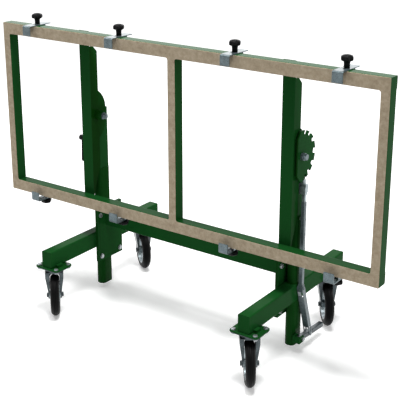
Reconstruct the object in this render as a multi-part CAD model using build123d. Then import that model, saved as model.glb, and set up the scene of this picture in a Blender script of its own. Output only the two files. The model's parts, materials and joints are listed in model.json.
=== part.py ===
from build123d import *
import math
import os

os.makedirs("parts", exist_ok=True)

# Clearances (mm): running fits, sliding gaps and the gap left where moving pieces lie on each other
RUN_FIT = 0.05
REST_GAP = 0.4
SLIDE_CLEAR = 0.6

# How far a cutter stands past the face it opens
CUT_OVER = 1.0

# Table frame (+Z up, -Y is the front)
TABLE_W = 2000.0
TABLE_H = 837.0
TABLE_OVER_BEAM = 45.0
RAIL_H = 52.0
STILE_W = 37.0
TUBE_D = 56.0
TUBE_WALL = 3.0
TUBE_R = 5.0
FELT_T = 4.0
FELT_CORNER_R = 10.0
FELT_FRONT = -153.0

# Two lifting units, one each side of the middle
UNIT_X = 542.0

# Telescopic posts
POST_X = 40.0
POST_Y = 70.8
POST_WALL = 3.0
POST_R = 9.4
POST_ABOVE_PIVOT = 20.0
POST_ABOVE_FOOT = 9.0
EYE_D = 34.0
NECK_H = 26.0
EYE_SIDE_GAP = 1.0
SLEEVE_WALL = 4.0
SLEEVE_R = 14.0
SLEEVE_BOTTOM = 27.0
SLEEVE_OVER_BEAM = 205.0

# Folded tilt channels behind the frame
CH_SIDE_GAP = 5.0
CH_T = 4.0
CH_DEPTH = 54.0
CH_TOP_CUT = 72.0
CH_CHAMFER = 28.0
CH_TAPER_FOOT = 42.0
CH_TAPER_H = 145.0
EAR_REACH = 58.0
EAR_HALF = 114.0
EAR_FLAT = 26.0
EAR_BULGE_Y = 38.0
EAR_BULGE_Z = 86.0
BOSS_D = 44.0
BOSS_L = 36.0

# Tilt pivot, behind the table and a little over its middle
PIVOT_Y = -48.0
PIVOT_OVER_MIDDLE = 16.5
PIVOT_D = 16.0
BOLT_HEAD_L = 10.0
COLLAR_L = 13.0
WASHER_T = 3.0
NUT_L = 14.0

# Notched index plate on the right channel
INDEX_T = 8.0
INDEX_R = 108.0
INDEX_FRONT = -34.0
INDEX_CORNER_Y = -10.0
INDEX_CORNER_DROP = 29.0
NOTCH_W = 21.0
NOTCH_DEPTH = 19.0
NOTCH_R = 3.0
NOTCH_STEPS = (0.0, 20.0, 44.0, 73.0, 102.0, 127.0, 148.0)
LATCH_ANGLE = -74.0
SPACER_D = 18.0
SPACER_INSET = 21.6
SPACER_RISE = 59.4
SPACER_BACK = 45.4

# Feet, crossbeam and flange joints
FOOT_SIDE = 3.4
FOOT_H = 80.0
FOOT_LEN = 800.0
FOOT_WALL = 3.0
FOOT_R = 6.0
BEAM_OVER_FOOT = 22.0
BEAM_Y = 60.0
BEAM_H = 80.0
BEAM_WALL = 3.0
FLANGE_T = 8.0
FLANGE_W = 176.0
FLANGE_UNDER_FOOT = 71.0
FLANGE_OVER_BEAM = 21.0
FLANGE_BOLT_INSET_Y = 20.0
FLANGE_BOLT_LOW = 24.0
FLANGE_BOLT_HIGH = 38.0
FLANGE_BOLT_D = 12.0
FLANGE_AF = 19.0
FLANGE_HEAD_L = 8.0

# Casters
CASTER_FRONT = -354.0
CASTER_REAR = 300.0
PLATE_X = 135.0
PLATE_Y = 110.0
PLATE_T = 6.0
PLATE_R = 14.0
TAB_X = 16.0
TAB_Y = 34.0
TAB_H = 12.0
HOLES_X = 105.0
HOLES_Y = 80.0
MOUNT_BOLT_D = 10.0
MOUNT_AF = 17.0
MOUNT_HEAD_L = 6.4
MOUNT_NUT_L = 8.0
TOP_PLATE_T = 5.0
TOP_PLATE_INSET = 3.0
RACE_D = 80.0
RACE_H = 7.0
KINGPIN_D = 16.0
KINGPIN_SUNK = 1.0
CROWN_T = 5.0
CROWN_L = 76.0
CROWN_GAP = 10.6
FORK_OUT = 84.0
FORK_LOW = 63.0
FORK_T = 4.5
FORK_EYE_R = 18.0
FORK_SHOULDER = 26.0
FORK_FLANGE_GAP = 2.5
TRAIL = 24.0
AXLE_D = 12.0
AXLE_AF = 19.0
AXLE_HEAD_L = 8.0
WHEEL_R = 100.0
TYRE_W = 42.0
TYRE_H = 30.0
TYRE_SHOULDER = 12.0
TYRE_BEAD = 4.0
RIM_W = 38.0
RIM_LIP = 8.0
RIM_WEB = 4.0
RIM_DISH = 5.0
HUB_R = 19.0
HUB_SIDE_GAP = 1.0
HEADINGS = {"front_right": 126.5, "front_left": 133.0, "rear_left": 142.0, "rear_right": 128.5}

# Edge clamps: bent strips held by star knobs on studs
CLAMP_X = (-815.0, -318.0, 294.0, 799.0)
STRIP_W = 46.0
STRIP_T = 4.0
STRIP_BEND_R = 5.0
STRIP_BACK = -45.0
LEG_OPEN = 27.0
LEG_LEN = 46.0
CLAMP_TRAVEL = 23.0
SLOT_CLEAR = 0.5
STUD_D = 10.0
STUD_Y = -109.0
LOW_STRIP_DROP = 18.0
HEEL_W = 40.0
HEEL_D = 16.0
HEEL_H = 12.0
KNOB_HUB_D = 24.0
KNOB_HUB_L = 27.0
LOW_HUB_L = 7.0
KNOB_R = 26.0
KNOB_H = 24.0
KNOB_LOBES = 6
LOBE_R = 7.5
KNOB_CROWN_H = 5.0
KNOB_CROWN_R = 8.7
KNOB_EDGE_R = 2.0
KNOB_BORE = 8.0

# Latch line: tongue, bar, perforated rod, link and pedal
TONGUE_CLEAR = 2.58
TONGUE_LEN = 21.0
TONGUE_CHAMFER = 3.8
TONGUE_PLAY = 1.0
TONGUE_SLOT_W = 5.0
TONGUE_SLOT_L = 14.0
TONGUE_SIDE_GAP = 0.3
ROD_W = 18.0
ROD_WALL = 2.0
ROD_R = 2.5
BAR_GAP = 0.3
BAR_OVER_PIN = 97.0
GUIDE_BELOW_TIP = 22.0
GUIDE_H = 44.0
GUIDE_STEP = 10.0
GUIDE_CLEAR = 0.4
GUIDE_WALL = 4.0
ROD_BELOW_GUIDE = 34.0
ROD_PIN_OVER_FOOT = -18.0
ROD_HOLE_D = 9.0
ROD_HOLE_FROM_TOP = 11.0
ROD_HOLE_PITCH = 66.0
ROD_HOLES = 5
SCREW_AF = 13.0
SCREW_HEAD_L = 6.0
CLEVIS_H = 30.0
PIN_D = 10.0
PIN_PROUD = 3.0
PIN_INNER = 0.5
PEDAL_W = 22.0
PEDAL_WALL = 2.0
PEDAL_R = 3.0
PEDAL_PIVOT_Y = -18.0
PEDAL_PIVOT_Z = 66.0
PEDAL_PIN_REACH = 77.0
PEDAL_REACH = 195.0
PEDAL_HEEL = 15.0
PEDAL_DROOP = 4.4
PEDAL_BOLT_AF = 17.0
PEDAL_BOLT_L = 7.0
LUG_SIDE_GAP = 0.6
LUG_R = 16.0
LUG_EAR = 4.0
LUG_FRONT = 21.0
LINK_T = 2.5
LINK_SIDE_GAP = 0.4
LINK_FOOT_GAP = 2.1
LINK_END_R = 11.0
LINK_LOOSE = 0.5
LINK_FORK = 40.0
LINK_WINDOW_W = 10.0
LINK_WINDOW_L = 30.0

# Clamping lever on the left channel
LEVER_Y = -80.0
LEVER_BELOW_PIVOT = 116.0
LEVER_ARM = 116.0
LEVER_HUB_D = 26.0
LEVER_HUB_L = 24.0
LEVER_GRIP_D = 17.0
LEVER_GRIP_TIP = 3.0
LEVER_STUD_D = 10.0
LEVER_STUD_PROUD = 4.0
LEVER_NECK = 2.0

# Levels and places that follow from the sizes above
tube_front = FELT_FRONT + FELT_T
tube_back = tube_front + TUBE_D
sleeve_x = POST_X + 2 * (SLIDE_CLEAR + SLEEVE_WALL)
sleeve_y = POST_Y + 2 * (SLIDE_CLEAR + SLEEVE_WALL)
foot_w = sleeve_x + 2 * FOOT_SIDE
crown_z0 = 2 * WHEEL_R + CROWN_GAP
crown_z1 = crown_z0 + CROWN_T
race_low_z = crown_z1 + RACE_H + REST_GAP
top_plate_z = race_low_z + RACE_H
mount_z = top_plate_z + TOP_PLATE_T
foot_z = mount_z + PLATE_T
foot_top = foot_z + FOOT_H
beam_z = foot_top + BEAM_OVER_FOOT
beam_top = beam_z + BEAM_H
table_bottom = beam_top + TABLE_OVER_BEAM
table_top = table_bottom + TABLE_H
pivot_z = (table_bottom + table_top) / 2 + PIVOT_OVER_MIDDLE
post_bottom = foot_top + POST_ABOVE_FOOT
post_top = pivot_z + POST_ABOVE_PIVOT
sleeve_top = beam_top + SLEEVE_OVER_BEAM
channel_in = POST_X + 2 * CH_SIDE_GAP
channel_out = channel_in / 2 + CH_T
web_back = tube_back + CH_T
flange_back = tube_back + CH_DEPTH
link_in = PEDAL_W / 2 + LINK_SIDE_GAP
link_out = link_in + LINK_T
latch_x = UNIT_X + foot_w / 2 + LINK_FOOT_GAP + link_out
latch_dy = INDEX_R * math.cos(math.radians(LATCH_ANGLE))
latch_dz = INDEX_R * math.sin(math.radians(LATCH_ANGLE))
latch_y = PIVOT_Y + latch_dy
tongue_tip = pivot_z + latch_dz - TONGUE_CLEAR
guide_top = tongue_tip - GUIDE_BELOW_TIP
guide_bottom = guide_top - GUIDE_H
rod_top = guide_bottom - ROD_BELOW_GUIDE
rod_pin_z = foot_top + ROD_PIN_OVER_FOOT
bar_half = ROD_W / 2 - ROD_WALL - BAR_GAP
index_x0 = latch_x - bar_half - TONGUE_SIDE_GAP
index_x1 = index_x0 + INDEX_T
right_outer = UNIT_X + channel_out
left_inner = -UNIT_X + channel_out
left_outer = -UNIT_X - channel_out


def slab(x0, x1, y0, y1, z0, z1):
    return Pos((x0 + x1) / 2, (y0 + y1) / 2, (z0 + z1) / 2) * Box(x1 - x0, y1 - y0, z1 - z0)


def bar_x(x0, x1, y, z, d):
    return Pos((x0 + x1) / 2, y, z) * Rot(0, 90, 0) * Cylinder(d / 2, x1 - x0)


def bar_z(x, y, z0, z1, d):
    return Pos(x, y, (z0 + z1) / 2) * Cylinder(d / 2, z1 - z0)


def hexagon(flats, length):
    return extrude(RegularPolygon(flats / 2, 6, major_radius=False), amount=length)


def hex_x(x0, x1, y, z, flats):
    return Pos(x0, y, z) * Rot(0, 90, 0) * hexagon(flats, x1 - x0)


def hex_z(x, y, z0, z1, flats):
    return Pos(x, y, z0) * hexagon(flats, z1 - z0)


def tube_section(a, b, wall, r):
    return RectangleRounded(a, b, r) - RectangleRounded(a - 2 * wall, b - 2 * wall, max(r - wall, 0.5))


def plate_x(x0, t, points):
    return extrude(Plane.YZ.offset(x0) * Polygon(*points, align=None), amount=t, dir=(1, 0, 0))


def outline_x(x0, t, edges):
    return extrude(Plane.YZ.offset(x0) * make_face(edges), amount=t, dir=(1, 0, 0))


def along_y(y0, profile, length):
    plane = Plane(origin=(0, y0, 0), x_dir=(1, 0, 0), z_dir=(0, 1, 0))
    return extrude(plane * profile, amount=length, dir=(0, 1, 0))


def group(solids):
    return Compound([solid for item in solids for solid in item.solids()])


pieces = {}

# Table frame
half_w = TABLE_W / 2
tube_mid_y = (tube_front + tube_back) / 2


def rail(z_mid):
    section = tube_section(TUBE_D, RAIL_H, TUBE_WALL, TUBE_R)
    body = extrude(Plane.YZ.offset(-half_w) * section, amount=TABLE_W, dir=(1, 0, 0))
    for side in (-1, 1):
        cap = Box(TUBE_WALL, TUBE_D - TUBE_WALL, RAIL_H - TUBE_WALL)
        body = body + Pos(side * (half_w - TUBE_WALL / 2), 0, 0) * cap
    return Pos(0, tube_mid_y, z_mid) * body


top_rail = rail(table_top - RAIL_H / 2)
for cx in CLAMP_X:
    heel = slab(cx - HEEL_W / 2, cx + HEEL_W / 2, tube_back - TUBE_WALL / 2, tube_back + HEEL_D,
                table_top - HEEL_H, table_top)
    top_rail = top_rail + heel
pieces["top_rail"] = top_rail
pieces["bottom_rail"] = rail(table_bottom + RAIL_H / 2)

stile_z0 = table_bottom + RAIL_H
stile_z1 = table_top - RAIL_H
stile = extrude(tube_section(STILE_W, TUBE_D, TUBE_WALL, TUBE_R), amount=stile_z1 - stile_z0)
stile_x = (-half_w + STILE_W / 2, 0.0, half_w - STILE_W / 2)
pieces["stile_tubes"] = group(Pos(sx, tube_mid_y, stile_z0) * stile for sx in stile_x)

window_w = half_w - STILE_W * 1.5
window_h = TABLE_H - 2 * RAIL_H
felt_face = Rectangle(TABLE_W, TABLE_H)
for side in (-1, 1):
    window_x = side * (STILE_W / 2 + window_w / 2)
    felt_face = felt_face - Pos(window_x, 0) * RectangleRounded(window_w, window_h, FELT_CORNER_R)
felt_mid = (0, tube_front, (table_top + table_bottom) / 2)
felt_plane = Plane(origin=felt_mid, x_dir=(1, 0, 0), z_dir=(0, -1, 0))
pieces["felt_facing"] = extrude(felt_plane * felt_face, amount=FELT_T, dir=(0, -1, 0))


# Folded tilt channels: a web, two flanges and rounded ears at the pivot
def flange_outline():
    top = table_top - CH_TOP_CUT
    taper_foot = table_bottom + CH_TAPER_FOOT
    taper_top = taper_foot + CH_TAPER_H
    ear_back = PIVOT_Y + EAR_REACH
    bulge_y = PIVOT_Y + EAR_BULGE_Y
    upper = (flange_back, pivot_z + EAR_HALF)
    upper_mid = (bulge_y, pivot_z + EAR_BULGE_Z)
    upper_end = (ear_back, pivot_z + EAR_FLAT)
    lower = (flange_back, pivot_z - EAR_HALF)
    lower_mid = (bulge_y, pivot_z - EAR_BULGE_Z)
    lower_end = (ear_back, pivot_z - EAR_FLAT)
    return [
        Polyline((tube_back, taper_foot), (tube_back, top), (flange_back - CH_CHAMFER, top),
                 (flange_back, top - CH_CHAMFER), upper),
        ThreePointArc(upper, upper_mid, upper_end),
        Line(upper_end, lower_end),
        ThreePointArc(lower_end, lower_mid, lower),
        Polyline(lower, (flange_back, taper_top), (web_back, taper_foot), (tube_back, taper_foot))]


pivot_bore = PIVOT_D + 2 * RUN_FIT


def tilt_channel(ux):
    body = slab(ux - channel_out, ux + channel_out, tube_back, web_back, table_bottom, table_top)
    body = body + outline_x(ux - channel_out, CH_T, flange_outline())
    body = body + outline_x(ux + channel_in / 2, CH_T, flange_outline())
    return body - bar_x(ux - 2 * channel_out, ux + 2 * channel_out, PIVOT_Y, pivot_z, pivot_bore)


boss = bar_x(left_inner, left_inner + BOSS_L, PIVOT_Y, pivot_z, BOSS_D)
boss = boss - bar_x(left_inner - CUT_OVER, left_inner + BOSS_L + CUT_OVER, PIVOT_Y, pivot_z, pivot_bore)
lever_z = pivot_z - LEVER_BELOW_PIVOT
hub_x1 = left_outer - REST_GAP
hub_x0 = hub_x1 - LEVER_HUB_L
lever_stud = bar_x(hub_x0 - LEVER_STUD_PROUD, left_outer, LEVER_Y, lever_z, LEVER_STUD_D)
pieces["left_tilt_channel"] = tilt_channel(-UNIT_X) + boss + lever_stud
pieces["right_tilt_channel"] = tilt_channel(UNIT_X)


# Index plate: the slots stand parallel to the tongue when they reach the latch
def notch_cut():
    depth = 2 * NOTCH_DEPTH
    face = Rectangle(NOTCH_W, depth, align=(Align.CENTER, Align.MAX))
    face = fillet(face.vertices().sort_by(Axis.Y)[-2:], NOTCH_R)
    slot = extrude(Plane.YZ.offset(index_x0 - CUT_OVER) * face, amount=INDEX_T + 2 * CUT_OVER, dir=(1, 0, 0))
    return Pos(0, latch_dy, latch_dz + NOTCH_DEPTH) * slot


keep = plate_x(index_x0, INDEX_T, [
    (INDEX_FRONT, -INDEX_R + INDEX_CORNER_DROP), (INDEX_CORNER_Y, -INDEX_R), (INDEX_R, -INDEX_R),
    (INDEX_R, INDEX_R), (INDEX_CORNER_Y, INDEX_R), (INDEX_FRONT, INDEX_R - INDEX_CORNER_DROP)])
index_plate = bar_x(index_x0, index_x1, 0, 0, 2 * INDEX_R) & keep
notch = notch_cut()
for turn in NOTCH_STEPS:
    index_plate = index_plate - Rot(turn, 0, 0) * notch
index_plate = index_plate - bar_x(index_x0 - CUT_OVER, index_x1 + CUT_OVER, 0, 0, PIVOT_D + 2 * RUN_FIT)
spacer_y = INDEX_FRONT + SPACER_INSET
for dy, dz in ((spacer_y, SPACER_RISE), (spacer_y, -SPACER_RISE), (SPACER_BACK, 0)):
    index_plate = index_plate + bar_x(right_outer, index_x0, dy, dz, SPACER_D)
pieces["index_plate"] = Pos(0, PIVOT_Y, pivot_z) * index_plate

# Clamping lever
grip_r = LEVER_GRIP_D / 2
grip_x = (hub_x0 + hub_x1) / 2
neck = LEVER_STUD_D / 2 + LEVER_NECK
grip_profile = [
    (0, -LEVER_ARM), (grip_r - LEVER_GRIP_TIP, -LEVER_ARM), (grip_r, -LEVER_ARM + 2 * LEVER_GRIP_TIP),
    (grip_r - LEVER_GRIP_TIP, -neck), (0, -neck)]
grip = revolve(Plane.XZ * Polygon(*grip_profile, align=None), axis=Axis.Z)
lever_hub = bar_x(hub_x0, hub_x1, LEVER_Y, lever_z, LEVER_HUB_D)
lever_bore = bar_x(hub_x0 - CUT_OVER, hub_x1 + CUT_OVER, LEVER_Y, lever_z, LEVER_STUD_D + 2 * RUN_FIT)
pieces["clamp_lever"] = (lever_hub + Pos(grip_x, LEVER_Y, lever_z) * grip) - lever_bore


# Telescopic posts with a welded pivot eye
def inner_post(ux):
    tube = extrude(tube_section(POST_X, POST_Y, POST_WALL, POST_R), amount=post_top - post_bottom)
    body = Pos(ux, 0, post_bottom) * tube
    cap = Box(POST_X - POST_WALL, POST_Y - POST_WALL, POST_WALL)
    body = body + Pos(ux, 0, post_top - POST_WALL / 2) * cap
    half_eye = channel_in / 2 - EYE_SIDE_GAP
    body = body + bar_x(ux - half_eye, ux + half_eye, PIVOT_Y, pivot_z, EYE_D)
    body = body + slab(ux - POST_X / 2, ux + POST_X / 2, PIVOT_Y, -POST_Y / 2 + POST_WALL / 2,
                       pivot_z - NECK_H / 2, pivot_z + NECK_H / 2)
    return body - bar_x(ux - channel_in, ux + channel_in, PIVOT_Y, pivot_z, PIVOT_D)


pieces["left_inner_post"] = inner_post(-UNIT_X)
pieces["right_inner_post"] = inner_post(UNIT_X)
bolt_af = PIVOT_D * 1.5
washer_d = PIVOT_D * 2


def pivot_bolt(head_face, nut_face, out, washer):
    ends = sorted((head_face + out * REST_GAP, nut_face - out * REST_GAP))
    body = bar_x(*ends, PIVOT_Y, pivot_z, PIVOT_D)
    head_end = (head_face, out, washer, BOLT_HEAD_L)
    nut_end = (nut_face, -out, WASHER_T, NUT_L)
    for face, way, thick, length in (head_end, nut_end):
        near = face + way * REST_GAP
        mid = near + way * thick
        body = body + bar_x(*sorted((near, mid)), PIVOT_Y, pivot_z, washer_d)
        body = body + hex_x(*sorted((mid, mid + way * length)), PIVOT_Y, pivot_z, bolt_af)
    tip = nut_face - out * (REST_GAP + WASHER_T + NUT_L)
    return body + bar_x(*sorted((tip, tip - out * WASHER_T)), PIVOT_Y, pivot_z, PIVOT_D)


pieces["left_pivot_bolt"] = pivot_bolt(left_outer, left_inner + BOSS_L, -1, WASHER_T)
pieces["right_pivot_bolt"] = pivot_bolt(index_x1, UNIT_X - channel_out, 1, COLLAR_L)

# Latch guide: a bent bracket round the bar, on the right inner post
hole_half = bar_half + GUIDE_CLEAR
guide_half = hole_half + GUIDE_WALL
post_face = UNIT_X + POST_X / 2
guide = slab(post_face, latch_x + guide_half, latch_y - guide_half, latch_y + guide_half,
             guide_bottom, guide_top)
guide = guide - slab(latch_x - hole_half, latch_x + hole_half, latch_y - hole_half, latch_y + hole_half,
                     guide_bottom - CUT_OVER, guide_top + CUT_OVER)
guide = guide - slab(post_face + GUIDE_WALL, latch_x - guide_half, latch_y - hole_half, latch_y + hole_half,
                     guide_bottom - CUT_OVER, guide_top + CUT_OVER)
guide = guide - slab(post_face - CUT_OVER, latch_x + 2 * guide_half, latch_y - 2 * guide_half,
                     latch_y - hole_half, guide_top - GUIDE_STEP, guide_top + CUT_OVER)
guide = guide - slab(post_face - CUT_OVER, latch_x + 2 * guide_half, latch_y + hole_half,
                     latch_y + 2 * guide_half, guide_bottom - CUT_OVER, guide_bottom + GUIDE_STEP)
pieces["latch_guide"] = guide

# Latch tongue and the bar that slides in the rod
tongue_foot = tongue_tip - TONGUE_LEN
bar_bottom = rod_pin_z + BAR_OVER_PIN
tongue_x0 = latch_x - bar_half
latch_bar = slab(tongue_x0, latch_x + bar_half, latch_y - bar_half, latch_y + bar_half,
                 bar_bottom, tongue_foot)
tongue_half = NOTCH_W / 2 - TONGUE_PLAY
tongue = slab(tongue_x0, index_x1, latch_y - tongue_half, latch_y + tongue_half, tongue_foot, tongue_tip)
tips = tongue.edges().filter_by(Axis.X).group_by(Axis.Z)[-1]
tongue = chamfer(tips, TONGUE_CHAMFER)
tongue_slot = SlotOverall(TONGUE_SLOT_L, TONGUE_SLOT_W, rotation=90)
slot_depth = index_x1 - tongue_x0 + 2 * CUT_OVER
tongue_slot = extrude(Plane.YZ.offset(tongue_x0 - CUT_OVER) * tongue_slot, amount=slot_depth, dir=(1, 0, 0))
tongue = tongue - Pos(0, latch_y, (tongue_foot + tongue_tip) / 2) * tongue_slot
pieces["latch_tongue"] = latch_bar + tongue

# Perforated rod with a clevis block and its pin
rod_z0 = rod_pin_z + CLEVIS_H / 2
rod = extrude(tube_section(ROD_W, ROD_W, ROD_WALL, ROD_R), amount=rod_top - rod_z0)
rod = Pos(latch_x, latch_y, rod_z0) * rod
for step in range(ROD_HOLES):
    hole_z = rod_top - ROD_HOLE_FROM_TOP - step * ROD_HOLE_PITCH
    rod = rod - bar_x(latch_x - ROD_W, latch_x + ROD_W, latch_y, hole_z, ROD_HOLE_D)
clevis = slab(latch_x - PEDAL_W / 2, latch_x + PEDAL_W / 2, latch_y - ROD_W / 2, latch_y + ROD_W / 2,
              rod_pin_z - CLEVIS_H / 2, rod_z0 + ROD_WALL)
pin_x0 = latch_x - link_out - PIN_INNER
pin_x1 = latch_x + link_out + PIN_PROUD
pieces["perforated_rod"] = rod + clevis + bar_x(pin_x0, pin_x1, latch_y, rod_pin_z, PIN_D)
lock_z = rod_top - ROD_HOLE_FROM_TOP - ROD_HOLE_PITCH
lock_x = latch_x - ROD_W / 2
lock_screw = bar_x(lock_x, lock_x + ROD_WALL, latch_y, lock_z, ROD_HOLE_D)
pieces["rod_lock_screw"] = lock_screw + hex_x(lock_x - SCREW_HEAD_L, lock_x, latch_y, lock_z, SCREW_AF)

# Pedal: an open square tube on a lug, with the lower link pin
droop = math.radians(PEDAL_DROOP)
pin_y = PEDAL_PIVOT_Y + PEDAL_PIN_REACH * math.cos(droop)
pin_z = PEDAL_PIVOT_Z - PEDAL_PIN_REACH * math.sin(droop)
pedal = along_y(-PEDAL_HEEL, tube_section(PEDAL_W, PEDAL_W, PEDAL_WALL, PEDAL_R), PEDAL_HEEL + PEDAL_REACH)
pedal = Pos(latch_x, PEDAL_PIVOT_Y, PEDAL_PIVOT_Z) * Rot(-PEDAL_DROOP, 0, 0) * pedal
pedal = pedal - bar_x(latch_x - PEDAL_W, latch_x + PEDAL_W, PEDAL_PIVOT_Y, PEDAL_PIVOT_Z, PIN_D + 2 * RUN_FIT)
pieces["pedal_lever"] = pedal - bar_x(latch_x - PEDAL_W, latch_x + PEDAL_W, pin_y, pin_z, PIN_D)
pieces["pedal_link_pin"] = bar_x(pin_x0, pin_x1, pin_y, pin_z, PIN_D)

# Foot link: a folded channel whose forked ends straddle the rod and the pedal
link_len = math.hypot(pin_y - latch_y, rod_pin_z - pin_z)
link_lean = math.degrees(math.atan2(pin_y - latch_y, rod_pin_z - pin_z))


def link_side(x0):
    side = slab(x0, x0 + LINK_T, -LINK_END_R, LINK_END_R, 0, link_len)
    for end in (0, link_len):
        side = side + bar_x(x0, x0 + LINK_T, 0, end, 2 * LINK_END_R)
    window = SlotOverall(LINK_WINDOW_L, LINK_WINDOW_W, rotation=90)
    window = extrude(Plane.YZ.offset(x0 - CUT_OVER) * window, amount=LINK_T + 2 * CUT_OVER, dir=(1, 0, 0))
    return side - Pos(0, 0, LINK_END_R + LINK_WINDOW_L / 2) * window


link = link_side(-link_out) + link_side(link_in)
link = link + slab(-link_out, link_out, -LINK_END_R, LINK_T - LINK_END_R, LINK_FORK, link_len - LINK_FORK)
link = link - bar_x(-2 * link_out, 2 * link_out, 0, 0, PIN_D + 2 * LINK_LOOSE)
link = link - bar_x(-2 * link_out, 2 * link_out, 0, link_len, PIN_D + 2 * RUN_FIT)
pieces["foot_link"] = Pos(latch_x, pin_y, pin_z) * Rot(link_lean, 0, 0) * link

# Sleeves and feet
sleeve = extrude(tube_section(sleeve_x, sleeve_y, SLEEVE_WALL, SLEEVE_R), amount=sleeve_top - SLEEVE_BOTTOM)
foot = along_y(-FOOT_LEN / 2, tube_section(foot_w, FOOT_H, FOOT_WALL, FOOT_R), FOOT_LEN)
for end in (-1, 1):
    cap = Box(foot_w - FOOT_WALL, FOOT_WALL, FOOT_H - FOOT_WALL)
    foot = foot + Pos(0, end * (FOOT_LEN / 2 - FOOT_WALL / 2), 0) * cap
foot = foot - extrude(RectangleRounded(sleeve_x, sleeve_y, SLEEVE_R), amount=FOOT_H, both=True)
for name, ux in (("left", -UNIT_X), ("right", UNIT_X)):
    pieces[name + "_post_sleeve"] = Pos(ux, 0, SLEEVE_BOTTOM) * sleeve
    pieces[name + "_foot"] = Pos(ux, 0, foot_z + FOOT_H / 2) * foot

# Bolted flange joints and the crossbeam between them
flange_z0 = foot_z - FLANGE_UNDER_FOOT
flange_z1 = beam_top + FLANGE_OVER_BEAM
bolt_spots = [(side * (FLANGE_W / 2 - FLANGE_BOLT_INSET_Y), z) for side in (-1, 1)
              for z in (flange_z0 + FLANGE_BOLT_LOW, flange_z1 - FLANGE_BOLT_HIGH)]
joint_x = UNIT_X - foot_w / 2 - FLANGE_T
flange_solids = []
flange_bolts = []
for side in (-1, 1):
    for inner in (joint_x - FLANGE_T, joint_x):
        x0, x1 = sorted((side * inner, side * (inner + FLANGE_T)))
        plate = slab(x0, x1, -FLANGE_W / 2, FLANGE_W / 2, flange_z0, flange_z1)
        for by, bz in bolt_spots:
            plate = plate - bar_x(x0 - CUT_OVER, x1 + CUT_OVER, by, bz, FLANGE_BOLT_D)
        flange_solids.append(plate)
    x0, x1 = sorted((side * (joint_x - FLANGE_T), side * (joint_x + FLANGE_T)))
    for by, bz in bolt_spots:
        bolt = bar_x(x0, x1, by, bz, FLANGE_BOLT_D)
        bolt = bolt + hex_x(x0 - FLANGE_HEAD_L, x0, by, bz, FLANGE_AF)
        flange_bolts.append(bolt + hex_x(x1, x1 + FLANGE_HEAD_L, by, bz, FLANGE_AF))
pieces["flange_plates"] = group(flange_solids)
beam_half = joint_x - FLANGE_T
beam_section = tube_section(BEAM_Y, BEAM_H, BEAM_WALL, FOOT_R)
beam = extrude(Plane.YZ.offset(-beam_half) * beam_section, amount=2 * beam_half, dir=(1, 0, 0))
pieces["crossbeam"] = Pos(0, 0, beam_z + BEAM_H / 2) * beam

# Pedal lug, a clevis with round ears on the right sleeve, and its bolt
lug_x0 = UNIT_X + sleeve_x / 2
ear_in = latch_x - PEDAL_W / 2 - LUG_SIDE_GAP
ear_out = latch_x + PEDAL_W / 2 + LUG_SIDE_GAP
lug_x1 = ear_out + LUG_EAR
lug = bar_x(lug_x0, lug_x1, PEDAL_PIVOT_Y, PEDAL_PIVOT_Z, 2 * LUG_R)
lug = lug + slab(lug_x0, lug_x1, PEDAL_PIVOT_Y - LUG_FRONT - LUG_EAR, PEDAL_PIVOT_Y,
                 PEDAL_PIVOT_Z - LUG_R, PEDAL_PIVOT_Z + LUG_R)
lug = lug - slab(ear_in, ear_out, PEDAL_PIVOT_Y - LUG_FRONT, PEDAL_PIVOT_Y + 2 * LUG_R,
                 PEDAL_PIVOT_Z - 2 * LUG_R, PEDAL_PIVOT_Z + 2 * LUG_R)
pieces["pedal_lug"] = lug - bar_x(lug_x0 - CUT_OVER, lug_x1 + CUT_OVER, PEDAL_PIVOT_Y, PEDAL_PIVOT_Z, PIN_D)
pedal_bolt = bar_x(lug_x0, lug_x1, PEDAL_PIVOT_Y, PEDAL_PIVOT_Z, PIN_D)
pedal_head = hex_x(lug_x1, lug_x1 + PEDAL_BOLT_L, PEDAL_PIVOT_Y, PEDAL_PIVOT_Z, PEDAL_BOLT_AF)
pieces["pedal_bolt"] = pedal_bolt + pedal_head

# Caster mount plates, top plates with the upper race, and their bolts
mount_spots = [(hx, hy) for hx in (-HOLES_X / 2, HOLES_X / 2) for hy in (-HOLES_Y / 2, HOLES_Y / 2)]
plate_face = RectangleRounded(PLATE_X, PLATE_Y, PLATE_R)
top_face = RectangleRounded(PLATE_X - 2 * TOP_PLATE_INSET, PLATE_Y - 2 * TOP_PLATE_INSET,
                            PLATE_R - TOP_PLATE_INSET)
for hx, hy in mount_spots:
    plate_face = plate_face - Pos(hx, hy) * Circle(MOUNT_BOLT_D / 2)
    top_face = top_face - Pos(hx, hy) * Circle(MOUNT_BOLT_D / 2)
mount_plate = Pos(0, 0, mount_z) * extrude(plate_face, amount=PLATE_T)
for side in (-1, 1):
    tab_x0, tab_x1 = sorted((side * foot_w / 2, side * (foot_w / 2 + TAB_X)))
    mount_plate = mount_plate + slab(tab_x0, tab_x1, -TAB_Y / 2, TAB_Y / 2, mount_z, foot_z + TAB_H)
top_plate = Pos(0, 0, top_plate_z) * extrude(top_face, amount=TOP_PLATE_T)
top_plate = top_plate + bar_z(0, 0, race_low_z, top_plate_z, RACE_D)
top_plate = top_plate - bar_z(0, 0, race_low_z - CUT_OVER, mount_z + CUT_OVER, KINGPIN_D + 2 * RUN_FIT)


def mount_bolt(hx, hy):
    bolt = bar_z(hx, hy, top_plate_z, foot_z, MOUNT_BOLT_D)
    bolt = bolt + hex_z(hx, hy, foot_z, foot_z + MOUNT_HEAD_L, MOUNT_AF)
    return bolt + hex_z(hx, hy, top_plate_z - MOUNT_NUT_L, top_plate_z, MOUNT_AF)


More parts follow.
